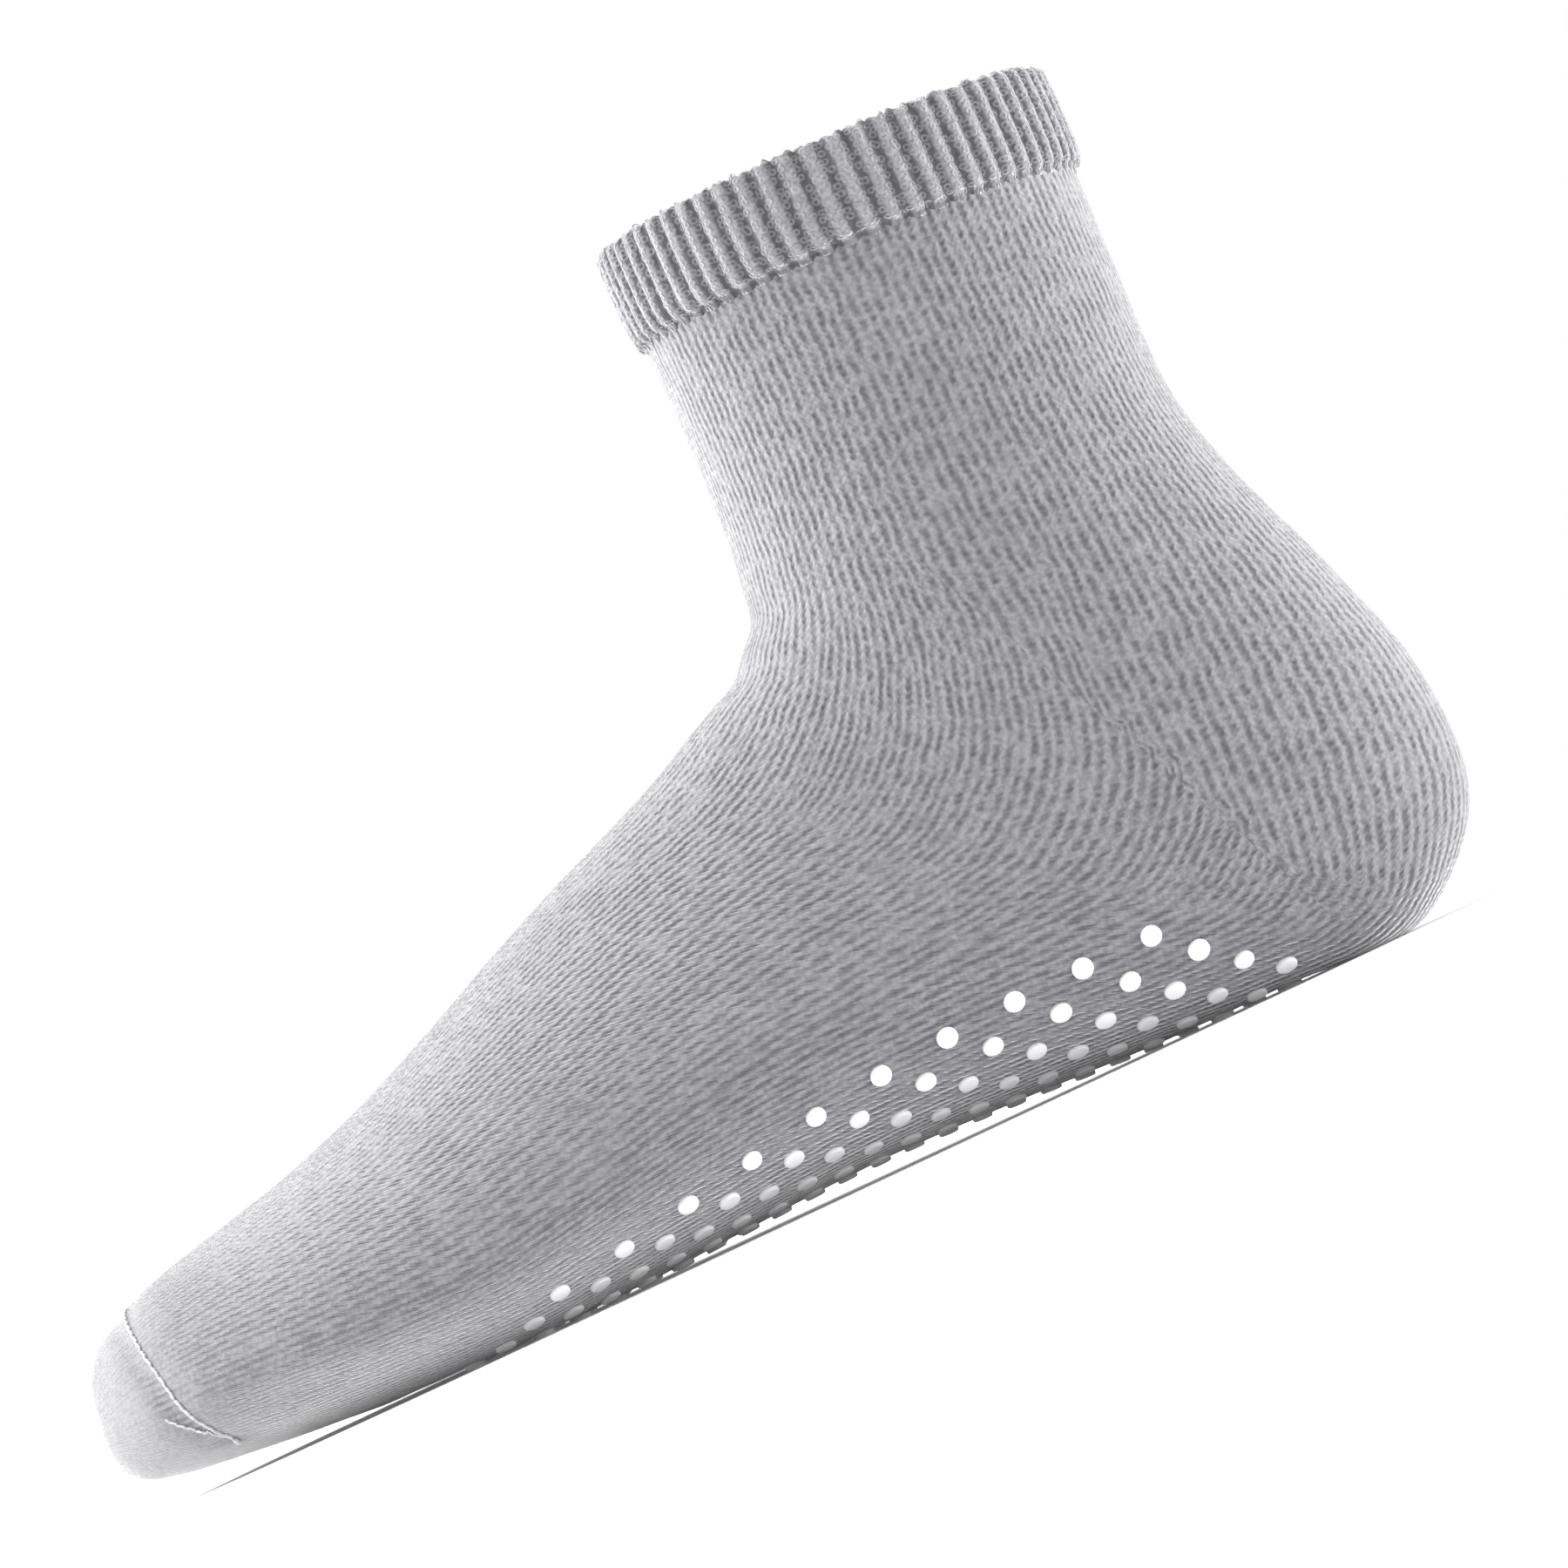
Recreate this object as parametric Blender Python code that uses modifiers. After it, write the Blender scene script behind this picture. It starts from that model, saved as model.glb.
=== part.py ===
"""Knitted slipper sock in the form it takes on a standing left foot.

Metres, +Z up, toes towards -X, outer side of the foot towards -Y.
The origin is on the floor at the middle of the sock's outline.
The body is one knitted wall, lofted through sections that run from front to back of the leg,
fan round the heel from the bend of the ankle and then cross the foot down to the toes.
"""

import math
from collections import namedtuple

import bmesh
import bpy
from mathutils import Matrix, Vector
from mathutils.bvhtree import BVHTree

# Sizes of the foot that the sock is worn on
FOOT_LENGTH = 0.240
BALL_WIDTH = 0.0900
INSTEP_HEIGHT = 0.0840
LEG_LENGTH = 0.0650
LEG_DEPTH = 0.0742
LEG_WIDTH = 0.0630
LEG_LEAN = math.radians(2.0)
LEG_PLACE = 0.227  # share of the foot's length

# Sizes of the knit
WALL = 0.0015
CLEARANCE = 0.0003
CUFF_HEIGHT = 0.0175
CUFF_LAP = 0.0035
CUFF_CROWN = 0.0010
RIB_COUNT = 64
RIB_PROUD = 0.0015
RIB_DEPTH = 0.0006
SEAM_DIAMETER = 0.0011
SEAM_FROM_TOE = 0.0115
SEAM_SWEEP = 0.0105
SEAM_REACH = math.radians(112)

# Sizes of the printed grip, whose dots have their roots in the wall
DOT_DIAMETER = 0.0034
DOT_HEIGHT = 0.0006
DOT_ROOT = WALL / 2
DOT_TAPER = 0.80
DOT_SIDES = 6
DOT_PITCH_ALONG = 0.0116
DOT_PITCH_ACROSS = 0.0054
DOT_COLUMNS_EACH_SIDE = 7
DOT_FULL_COLUMNS = 4
GRIP_START = 0.169  # shares of the foot's length
GRIP_END = 0.755

# Fineness of the loft
POINTS_ROUND = 32
RINGS_PER_ROW = 2
SEAM_POINTS = 30

# Each leg row: rise as a share of the leg's length above the instep, reach in front of and behind
# the leg's axis as shares of its depth, and width as a share of its width.
# The first is the cuff's top, the second the body's top edge and the third the cuff's lower edge.
LegRow = namedtuple("LegRow", "rise front back width")
BODY_TOP_ROW = 1
CUFF_BOTTOM_ROW = 2
LEG_ROWS = [
    LegRow(1.0, 0.505, 0.495, 1.000),
    LegRow(1.0 - (CUFF_HEIGHT - CUFF_LAP) / LEG_LENGTH, 0.500, 0.495, 0.985),
    LegRow(1.0 - CUFF_HEIGHT / LEG_LENGTH, 0.497, 0.493, 0.980),
    LegRow(0.45, 0.493, 0.490, 0.980),
    LegRow(0.18, 0.503, 0.492, 1.010),
]

# Each foot row: front point on the instep and back point on the heel or sole, with lengths as shares
# of the foot's length and heights as shares of the instep's height; outer and inner half widths as
# shares of the ball's width; belly, the share of the way down where the section is widest; roundness
# of its upper and lower half; ridge, how far the instep leans inwards; arch, the lift under the inside.
FIELDS = "front_u front_z back_u back_z outer inner belly upper lower ridge arch"
FootRow = namedtuple("FootRow", FIELDS)
FOOT_ROWS = [
    FootRow(0.390, 1.043, 0.0600, 0.940, 0.364, 0.368, 0.50, 2.10, 2.10, 0.00, 0.00),
    FootRow(0.408, 0.976, 0.0270, 0.679, 0.368, 0.372, 0.50, 2.10, 2.15, 0.00, 0.00),
    FootRow(0.431, 0.937, 0.0025, 0.429, 0.364, 0.364, 0.50, 2.10, 2.20, 0.01, 0.00),
    FootRow(0.456, 0.902, 0.0090, 0.173, 0.358, 0.352, 0.51, 2.10, 2.25, 0.01, 0.00),
    FootRow(0.483, 0.864, 0.0780, -0.010, 0.360, 0.346, 0.53, 2.10, 2.30, 0.02, 0.01),
    FootRow(0.517, 0.821, 0.1580, -0.018, 0.372, 0.346, 0.55, 2.10, 2.30, 0.03, 0.04),
    FootRow(0.567, 0.768, 0.3000, 0.012, 0.398, 0.352, 0.58, 2.10, 2.20, 0.05, 0.09),
    FootRow(0.633, 0.688, 0.4500, 0.029, 0.438, 0.380, 0.61, 2.10, 2.20, 0.05, 0.10),
    FootRow(0.700, 0.600, 0.5920, 0.012, 0.480, 0.440, 0.64, 2.10, 2.30, 0.05, 0.05),
    FootRow(0.758, 0.531, 0.7000, -0.010, 0.494, 0.500, 0.66, 2.10, 2.40, 0.05, 0.01),
    FootRow(0.829, 0.466, 0.7960, 0.002, 0.448, 0.502, 0.64, 2.15, 2.45, 0.05, 0.00),
    FootRow(0.894, 0.424, 0.8790, 0.022, 0.356, 0.462, 0.62, 2.20, 2.40, 0.06, 0.00),
    FootRow(0.950, 0.378, 0.9440, 0.042, 0.230, 0.386, 0.60, 2.25, 2.35, 0.07, 0.00),
    FootRow(0.983, 0.318, 0.9820, 0.066, 0.095, 0.285, 0.58, 2.25, 2.25, 0.07, 0.00),
    FootRow(0.998, 0.244, 0.9980, 0.108, 0.020, 0.165, 0.56, 2.20, 2.20, 0.07, 0.00),
]
TOE_ROW = len(LEG_ROWS) + len(FOOT_ROWS) - 1

# One section in metres: u is the distance forward of the heel, and positive y is the inside of the foot.
Section = namedtuple("Section", FIELDS)


def leg_section(row):
    """A section square to the leg, which leans back a little over the heel."""
    rise = row.rise * LEG_LENGTH
    centre_u = LEG_PLACE * FOOT_LENGTH - rise * math.sin(LEG_LEAN)
    centre_z = INSTEP_HEIGHT + rise * math.cos(LEG_LEAN)
    ahead, behind = row.front * LEG_DEPTH, row.back * LEG_DEPTH
    half = row.width * LEG_WIDTH / 2
    return Section(
        centre_u + ahead * math.cos(LEG_LEAN),
        centre_z + ahead * math.sin(LEG_LEAN),
        centre_u - behind * math.cos(LEG_LEAN),
        centre_z - behind * math.sin(LEG_LEAN),
        half, half, 0.5, 2.1, 2.1, 0.0, 0.0,
    )


def foot_section(row):
    """A section of the heel or foot, from its shares."""
    return Section(
        row.front_u * FOOT_LENGTH,
        row.front_z * INSTEP_HEIGHT,
        row.back_u * FOOT_LENGTH,
        row.back_z * INSTEP_HEIGHT,
        row.outer * BALL_WIDTH,
        row.inner * BALL_WIDTH,
        row.belly, row.upper, row.lower,
        row.ridge * BALL_WIDTH,
        row.arch * BALL_WIDTH,
    )


SECTIONS = [leg_section(row) for row in LEG_ROWS] + [foot_section(row) for row in FOOT_ROWS]


def section_at(station):
    """The section at a place between rows, on a smooth curve through them all."""
    station = min(max(station, 0.0), TOE_ROW)
    first = min(int(station), TOE_ROW - 1)
    t = station - first
    rows = [SECTIONS[min(max(first + step, 0), TOE_ROW)] for step in (-1, 0, 1, 2)]
    values = []
    for before, start, end, after in zip(*rows):
        pull_in, pull_out = (end - before) / 2, (after - start) / 2
        values.append(
            (2 * t**3 - 3 * t**2 + 1) * start
            + (t**3 - 2 * t**2 + t) * pull_in
            + (3 * t**2 - 2 * t**3) * end
            + (t**3 - t**2) * pull_out
        )
    return Section(*values)


def power(value, exponent):
    return math.copysign(abs(value) ** exponent, value)


def floor_level(u):
    """Where the knit stops at the floor: on it at the heel, and a dot's height above it under the grip."""
    share = (u - GRIP_START * FOOT_LENGTH + DOT_PITCH_ALONG) / DOT_PITCH_ALONG
    share = min(max(share, 0.0), 1.0)
    return DOT_HEIGHT * share * share * (3 - 2 * share)


def raw_point(station, angle):
    """Point of the outer surface. Angle 0 is the front or top, a quarter turn the outer side."""
    section = section_at(station)
    across, down = math.sin(angle), -math.cos(angle)
    roundness = section.upper if down < 0 else section.lower
    reach = power(across, 2 / roundness)
    drop = power(down, 2 / roundness)
    share = section.belly + drop * (section.belly if drop < 0 else 1 - section.belly)
    y = -reach * section.outer if reach > 0 else -reach * section.inner
    y += section.ridge * max(0.0, 1 - share / section.belly)
    u = section.front_u + (section.back_u - section.front_u) * share
    z = section.front_z + (section.back_z - section.front_z) * share
    if across < 0 < down:
        z += section.arch * 4 * across**2 * down**2
    return Vector((u, y, max(z, floor_level(u))))


def plan_middle():
    """Middle of the sock's outline seen from above, in u and y."""
    samples = [
        raw_point(row / 4, math.tau * j / 72) for row in range(4 * TOE_ROW + 1) for j in range(72)
    ]
    us = [p.x for p in samples]
    ys = [p.y for p in samples]
    return (min(us) + max(us)) / 2, (min(ys) + max(ys)) / 2


MIDDLE_U, MIDDLE_Y = plan_middle()


def placed(point):
    """From heel distances to the part's own frame."""
    return Vector((MIDDLE_U - point.x, point.y - MIDDLE_Y, point.z))


def surface(station, angle, offset=0.0):
    """Point at a height over the knit's outer surface."""
    point = placed(raw_point(station, angle))
    if offset == 0.0:
        return point
    step = 0.02
    along = placed(raw_point(station + step, angle)) - placed(raw_point(station - step, angle))
    round_it = placed(raw_point(station, angle + step)) - placed(raw_point(station, angle - step))
    return point + along.cross(round_it).normalized() * offset


def new_object(name, mesh, collection, material=None):
    made = bpy.data.objects.new(name, mesh)
    collection.objects.link(made)
    if material:
        mesh.materials.append(material)
    return made


def new_material(name, colour, roughness):
    material = bpy.data.materials.new(name)
    material.use_nodes = True
    shader = material.node_tree.nodes["Principled BSDF"]
    shader.inputs["Base Color"].default_value = (*colour, 1.0)
    shader.inputs["Roughness"].default_value = roughness
    shader.inputs["Metallic"].default_value = 0.0
    return material


def loft(name, loops, ring=False, cap_end=False):
    """Mesh through closed loops of equal length. A ring joins the last loop to the first."""
    mesh = bpy.data.meshes.new(name)
    size, count = len(loops[0]), len(loops)
    points = [point for loop in loops for point in loop]
    faces = []
    for i in range(count if ring else count - 1):
        here, after = i * size, (i + 1) % count * size
        for j in range(size):
            k = (j + 1) % size
            faces.append((here + j, after + j, after + k, here + k))
    if cap_end:
        faces.append(tuple((count - 1) * size + j for j in reversed(range(size))))
    mesh.from_pydata(points, [], faces)
    if ring:
        shape = bmesh.new()
        shape.from_mesh(mesh)
        bmesh.ops.recalc_face_normals(shape, faces=shape.faces)
        shape.to_mesh(mesh)
        shape.free()
    mesh.shade_smooth()
    return mesh


def knit_body(collection, material):
    """The knitted wall from its top edge inside the cuff to the toe, open at the leg."""
    rings = (TOE_ROW - BODY_TOP_ROW) * RINGS_PER_ROW
    loops = [
        [surface(BODY_TOP_ROW + i / RINGS_PER_ROW, math.tau * j / POINTS_ROUND) for j in range(POINTS_ROUND)]
        for i in range(rings + 1)
    ]
    body = new_object("knit_body", loft("knit_body", loops, cap_end=True), collection, material)
    wall = body.modifiers.new("wall", "SOLIDIFY")
    wall.thickness = WALL
    wall.offset = -1
    wall.use_even_offset = False
    wall.use_quality_normals = True
    return body


def rib_cuff(collection, material):
    """The doubled rib: ridges outside, plain inside, with a rebate below that laps over the body's edge."""
    def loop(station, offset, groove=0.0):
        return [
            surface(station, math.pi * j / RIB_COUNT, offset - groove * (j % 2))
            for j in range(2 * RIB_COUNT)
        ]

    crown = CUFF_CROWN / (CUFF_HEIGHT - CUFF_LAP)
    shoulder = BODY_TOP_ROW - CLEARANCE / (CUFF_HEIGHT - CUFF_LAP)
    loops = [
        loop(CUFF_BOTTOM_ROW, RIB_PROUD, groove=RIB_DEPTH),
        loop(crown, RIB_PROUD, groove=RIB_DEPTH),
        loop(0.0, (RIB_PROUD - WALL) / 2),
        loop(crown, -WALL),
        loop(shoulder, -WALL),
        loop(shoulder, CLEARANCE),
        loop(CUFF_BOTTOM_ROW, CLEARANCE),
    ]
    return new_object("rib_cuff", loft("rib_cuff", loops, ring=True), collection, material)


def station_of(u, angle):
    """Station at which the surface at this angle reaches a distance u from the heel, near the toes."""
    low, high = TOE_ROW - 5.0, float(TOE_ROW)
    for _ in range(30):
        middle = (low + high) / 2
        if raw_point(middle, angle).x < u:
            low = middle
        else:
            high = middle
    return low


def toe_seam(collection, material):
    """The linking seam: a fine cord over the toes that drops back to a corner on each side."""
    radius = SEAM_DIAMETER / 2
    curve = bpy.data.curves.new("toe_seam", "CURVE")
    curve.dimensions = "3D"
    curve.bevel_depth = radius
    curve.bevel_resolution = 2
    curve.use_fill_caps = True
    line = curve.splines.new("POLY")
    line.points.add(SEAM_POINTS - 1)
    for i, point in enumerate(line.points):
        share = 2 * i / (SEAM_POINTS - 1) - 1
        angle = share * SEAM_REACH
        u = FOOT_LENGTH - SEAM_FROM_TOE - SEAM_SWEEP * share**2
        place = surface(station_of(u, angle), angle, CLEARANCE + radius)
        point.co = (*place, 1.0)
    seam = bpy.data.objects.new("toe_seam", curve)
    collection.objects.link(seam)
    curve.materials.append(material)
    return seam


def outer_skin():
    """The knit's outer surface as a tree that rays and distances can be taken from."""
    loops = [
        [surface(i / RINGS_PER_ROW, math.tau * j / POINTS_ROUND) for j in range(POINTS_ROUND)]
        for i in range(TOE_ROW * RINGS_PER_ROW + 1)
    ]
    points = [point for loop_points in loops for point in loop_points]
    faces = []
    for i in range(len(loops) - 1):
        for j in range(POINTS_ROUND):
            k = (j + 1) % POINTS_ROUND
            here, after = i * POINTS_ROUND, (i + 1) * POINTS_ROUND
            faces.append((here + j, after + j, after + k, here + k))
    return BVHTree.FromPolygons(points, faces)


def under_sole(skin, u, across):
    """Place and outward direction on the sole, measured round it from its middle like a tape."""
    x = MIDDLE_U - u
    start = Vector((x, -MIDDLE_Y, -FOOT_LENGTH))
    place, normal, _, _ = skin.ray_cast(start, Vector((0, 0, 1)))
    steps = max(1, round(abs(across) / 0.001))
    stride = across / steps
    for _ in range(steps if across else 0):
        sideways = Vector((1, 0, 0)).cross(normal).normalized()
        ahead = place + sideways * stride
        ahead.x = x
        place, normal, _, _ = skin.find_nearest(ahead)
        place.x = x
    return place, normal


def dot_places():
    """Grip dots in staggered columns, as u along the foot and distance across it. The outer columns are shorter."""
    columns = range(-DOT_COLUMNS_EACH_SIDE, DOT_COLUMNS_EACH_SIDE + 1)
    first, last = GRIP_START * FOOT_LENGTH, GRIP_END * FOOT_LENGTH
    places = []
    for column in columns:
        inset = max(0, abs(column) - DOT_FULL_COLUMNS) * DOT_PITCH_ALONG / 2
        lag = DOT_PITCH_ALONG / 2 if column % 2 else 0.0
        row = 0
        while True:
            u = first + lag + row * DOT_PITCH_ALONG
            row += 1
            if u > last - inset:
                break
            if u > first + inset - DOT_PITCH_ALONG / 4:
                places.append((u, column * DOT_PITCH_ACROSS))
    return places


def grip_dots(collection):
    """All the printed dots as one helper mesh, each a low round button with its root in the wall."""
    skin = outer_skin()
    shape = bmesh.new()
    depth = DOT_HEIGHT + DOT_ROOT
    for u, across in dot_places():
        place, normal = under_sole(skin, u, across)
        turn = normal.to_track_quat("Z", "Y").to_matrix().to_4x4()
        middle = place + normal * (DOT_HEIGHT - depth / 2)
        made = bmesh.ops.create_cone(
            shape,
            cap_ends=True,
            segments=DOT_SIDES,
            radius1=DOT_DIAMETER / 2,
            radius2=DOT_DIAMETER / 2 * DOT_TAPER,
            depth=depth,
            matrix=Matrix.Translation(middle) @ turn,
        )
        for corner in made["verts"]:
            corner.co.z = max(corner.co.z, 0.0)
    mesh = bpy.data.meshes.new("grip_dots")
    shape.to_mesh(mesh)
    shape.free()
    dots = new_object("grip_dots", mesh, collection)
    dots.hide_render = True
    dots.display_type = "WIRE"
    return dots


def main():
    for old in list(bpy.data.objects):
        bpy.data.objects.remove(old)
    sock = bpy.data.collections.new("slipper_sock")
    helpers = bpy.data.collections.new("helpers")
    bpy.context.scene.collection.children.link(sock)
    bpy.context.scene.collection.children.link(helpers)
    jersey = new_material("grey jersey", (0.46, 0.46, 0.48), 0.95)
    rib = new_material("grey rib", (0.42, 0.42, 0.44), 0.95)
    thread = new_material("linking thread", (0.62, 0.62, 0.64), 0.90)

    body = knit_body(sock, jersey)
    grip = body.modifiers.new("grip", "BOOLEAN")
    grip.operation = "UNION"
    grip.solver = "EXACT"
    grip.object = grip_dots(helpers)
    rib_cuff(sock, rib)
    toe_seam(sock, thread)


main()
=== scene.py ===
import math
import random
from collections import namedtuple

import bmesh
import bpy
import numpy as np
from mathutils import Matrix, Vector, noise
from mathutils.bvhtree import BVHTree


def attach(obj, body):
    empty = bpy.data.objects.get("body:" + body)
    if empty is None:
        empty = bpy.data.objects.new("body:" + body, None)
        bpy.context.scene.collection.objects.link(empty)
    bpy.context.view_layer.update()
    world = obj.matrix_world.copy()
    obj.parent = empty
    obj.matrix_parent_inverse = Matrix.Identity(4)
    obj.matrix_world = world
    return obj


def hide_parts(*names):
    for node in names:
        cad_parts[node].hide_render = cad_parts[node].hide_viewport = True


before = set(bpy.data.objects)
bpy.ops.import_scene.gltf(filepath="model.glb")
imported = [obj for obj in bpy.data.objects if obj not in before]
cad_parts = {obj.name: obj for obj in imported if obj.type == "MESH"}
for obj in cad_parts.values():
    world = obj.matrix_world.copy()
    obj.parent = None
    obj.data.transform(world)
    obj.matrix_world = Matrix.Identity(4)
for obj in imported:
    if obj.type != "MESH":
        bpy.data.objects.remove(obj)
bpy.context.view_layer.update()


# Knitted body
# The leg, heel, foot and toe pocket are one tube of plain jersey in grey heather yarn, knitted in
# the round on one machine, with a heel and toe turned by short rows. It keeps the form of the foot.

FOOT_LENGTH = 0.240
BALL_WIDTH = 0.0900
INSTEP_HEIGHT = 0.0840
LEG_LENGTH = 0.0650
LEG_DEPTH = 0.0742
LEG_WIDTH = 0.0630
LEG_LEAN = math.radians(2.0)
LEG_PLACE = 0.227
WALL = 0.0015
CUFF_HEIGHT = 0.0175
CUFF_LAP = 0.0035
DOT_HEIGHT = 0.0006
DOT_PITCH_ALONG = 0.0116
GRIP_START = 0.169
GRIP_END = 0.755

# Each row is a section of the tube, from the collar down and on to the toes. A leg row has how high
# it stands, how far it reaches to the front and back, and its width, as shares of the leg's sizes.
LegRow = namedtuple("LegRow", "rise front back width")
BODY_TOP_ROW = 1
CUFF_BOTTOM_ROW = 2
LEG_ROWS = [
    LegRow(1.0, 0.505, 0.495, 1.000),
    LegRow(1.0 - (CUFF_HEIGHT - CUFF_LAP) / LEG_LENGTH, 0.500, 0.495, 0.985),
    LegRow(1.0 - CUFF_HEIGHT / LEG_LENGTH, 0.497, 0.493, 0.980),
    LegRow(0.45, 0.493, 0.490, 0.980),
    LegRow(0.18, 0.503, 0.492, 1.010),
]
# A foot row has its top and bottom point, along the foot and up, its reach to the outer and inner
# side, the share of its height where it is widest, its roundness above and below that, how far its
# top leans to the inner side, and its arch. Lengths are shares of the foot's length, the instep's
# height and the ball's width.
FIELDS = "front_u front_z back_u back_z outer inner belly upper lower ridge arch"
FootRow = namedtuple("FootRow", FIELDS)
FOOT_ROWS = [
    FootRow(0.390, 1.043, 0.0600, 0.940, 0.364, 0.368, 0.50, 2.10, 2.10, 0.00, 0.00),
    FootRow(0.408, 0.976, 0.0270, 0.679, 0.368, 0.372, 0.50, 2.10, 2.15, 0.00, 0.00),
    FootRow(0.431, 0.937, 0.0025, 0.429, 0.364, 0.364, 0.50, 2.10, 2.20, 0.01, 0.00),
    FootRow(0.456, 0.902, 0.0090, 0.173, 0.358, 0.352, 0.51, 2.10, 2.25, 0.01, 0.00),
    FootRow(0.483, 0.864, 0.0780, -0.010, 0.360, 0.346, 0.53, 2.10, 2.30, 0.02, 0.01),
    FootRow(0.517, 0.821, 0.1580, -0.018, 0.372, 0.346, 0.55, 2.10, 2.30, 0.03, 0.04),
    FootRow(0.567, 0.768, 0.3000, 0.012, 0.398, 0.352, 0.58, 2.10, 2.20, 0.05, 0.09),
    FootRow(0.633, 0.688, 0.4500, 0.029, 0.438, 0.380, 0.61, 2.10, 2.20, 0.05, 0.10),
    FootRow(0.700, 0.600, 0.5920, 0.012, 0.480, 0.440, 0.64, 2.10, 2.30, 0.05, 0.05),
    FootRow(0.758, 0.531, 0.7000, -0.010, 0.494, 0.500, 0.66, 2.10, 2.40, 0.05, 0.01),
    FootRow(0.829, 0.466, 0.7960, 0.002, 0.448, 0.502, 0.64, 2.15, 2.45, 0.05, 0.00),
    FootRow(0.894, 0.424, 0.8790, 0.022, 0.356, 0.462, 0.62, 2.20, 2.40, 0.06, 0.00),
    FootRow(0.950, 0.378, 0.9440, 0.042, 0.230, 0.386, 0.60, 2.25, 2.35, 0.07, 0.00),
    FootRow(0.983, 0.318, 0.9820, 0.066, 0.095, 0.285, 0.58, 2.25, 2.25, 0.07, 0.00),
    FootRow(0.998, 0.244, 0.9980, 0.108, 0.020, 0.165, 0.56, 2.20, 2.20, 0.07, 0.00),
]
TOE_ROW = len(LEG_ROWS) + len(FOOT_ROWS) - 1


def leg_section(row):
    """A section square to the leg, in metres."""
    rise = row.rise * LEG_LENGTH
    centre_u = LEG_PLACE * FOOT_LENGTH - rise * math.sin(LEG_LEAN)
    centre_z = INSTEP_HEIGHT + rise * math.cos(LEG_LEAN)
    ahead, behind = row.front * LEG_DEPTH, row.back * LEG_DEPTH
    half = row.width * LEG_WIDTH / 2
    return [
        centre_u + ahead * math.cos(LEG_LEAN),
        centre_z + ahead * math.sin(LEG_LEAN),
        centre_u - behind * math.cos(LEG_LEAN),
        centre_z - behind * math.sin(LEG_LEAN),
        half, half, 0.5, 2.1, 2.1, 0.0, 0.0,
    ]


def foot_section(row):
    """A section of the heel or foot, in metres."""
    return [
        row.front_u * FOOT_LENGTH, row.front_z * INSTEP_HEIGHT,
        row.back_u * FOOT_LENGTH, row.back_z * INSTEP_HEIGHT,
        row.outer * BALL_WIDTH, row.inner * BALL_WIDTH,
        row.belly, row.upper, row.lower,
        row.ridge * BALL_WIDTH, row.arch * BALL_WIDTH,
    ]


SECTIONS = [leg_section(row) for row in LEG_ROWS] + [foot_section(row) for row in FOOT_ROWS]


def section_at(station):
    """The section at a place between rows, on a smooth curve through them all."""
    station = min(max(station, 0.0), TOE_ROW)
    first = min(int(station), TOE_ROW - 1)
    t = station - first
    rows = [SECTIONS[min(max(first + step, 0), TOE_ROW)] for step in (-1, 0, 1, 2)]
    values = []
    for before, start, end, after in zip(*rows):
        pull_in, pull_out = (end - before) / 2, (after - start) / 2
        values.append(
            (2 * t**3 - 3 * t**2 + 1) * start
            + (t**3 - 2 * t**2 + t) * pull_in
            + (3 * t**2 - 2 * t**3) * end
            + (t**3 - t**2) * pull_out
        )
    return FootRow(*values)


def power(value, exponent):
    return math.copysign(abs(value) ** exponent, value)


def smooth(low, high, value):
    """0 below low, 1 above high, and a soft slope between."""
    share = min(max((value - low) / (high - low), 0.0), 1.0)
    return share * share * (3 - 2 * share)


def floor_level(u):
    """The knit lies on the floor at the heel, and a dot's height above it under the grip."""
    start = GRIP_START * FOOT_LENGTH
    return DOT_HEIGHT * smooth(start - DOT_PITCH_ALONG, start, u)


def raw_point(station, turn):
    """Point of the outer surface. Turn 0 is the front or top, and a quarter turn the outer side."""
    section = section_at(station)
    across, down = math.sin(turn), -math.cos(turn)
    roundness = section.upper if down < 0 else section.lower
    reach = power(across, 2 / roundness)
    drop = power(down, 2 / roundness)
    share = section.belly + drop * (section.belly if drop < 0 else 1 - section.belly)
    y = -reach * section.outer if reach > 0 else -reach * section.inner
    y += section.ridge * max(0.0, 1 - share / section.belly)
    u = section.front_u + (section.back_u - section.front_u) * share
    z = section.front_z + (section.back_z - section.front_z) * share
    if across < 0 < down:
        z += section.arch * 4 * across**2 * down**2
    return Vector((u, y, max(z, floor_level(u))))


ROWS_BETWEEN = 4
PLACES_ROUND = 72
outline = [
    raw_point(row / ROWS_BETWEEN, math.tau * j / PLACES_ROUND)
    for row in range(ROWS_BETWEEN * TOE_ROW + 1)
    for j in range(PLACES_ROUND)
]
MIDDLE_U = (min(p.x for p in outline) + max(p.x for p in outline)) / 2
MIDDLE_Y = (min(p.y for p in outline) + max(p.y for p in outline)) / 2


def on_last(station, turn, lift=0.0):
    """Point at a height over the foot's form, in the frame's own axes."""
    def placed(a, b):
        point = raw_point(a, b)
        return Vector((MIDDLE_U - point.x, point.y - MIDDLE_Y, point.z))

    point = placed(station, turn)
    if lift == 0.0:
        return point
    step = 0.02
    along = placed(station + step, turn) - placed(station - step, turn)
    round_it = placed(station, turn + step) - placed(station, turn - step)
    return point + along.cross(round_it).normalized() * lift


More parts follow.
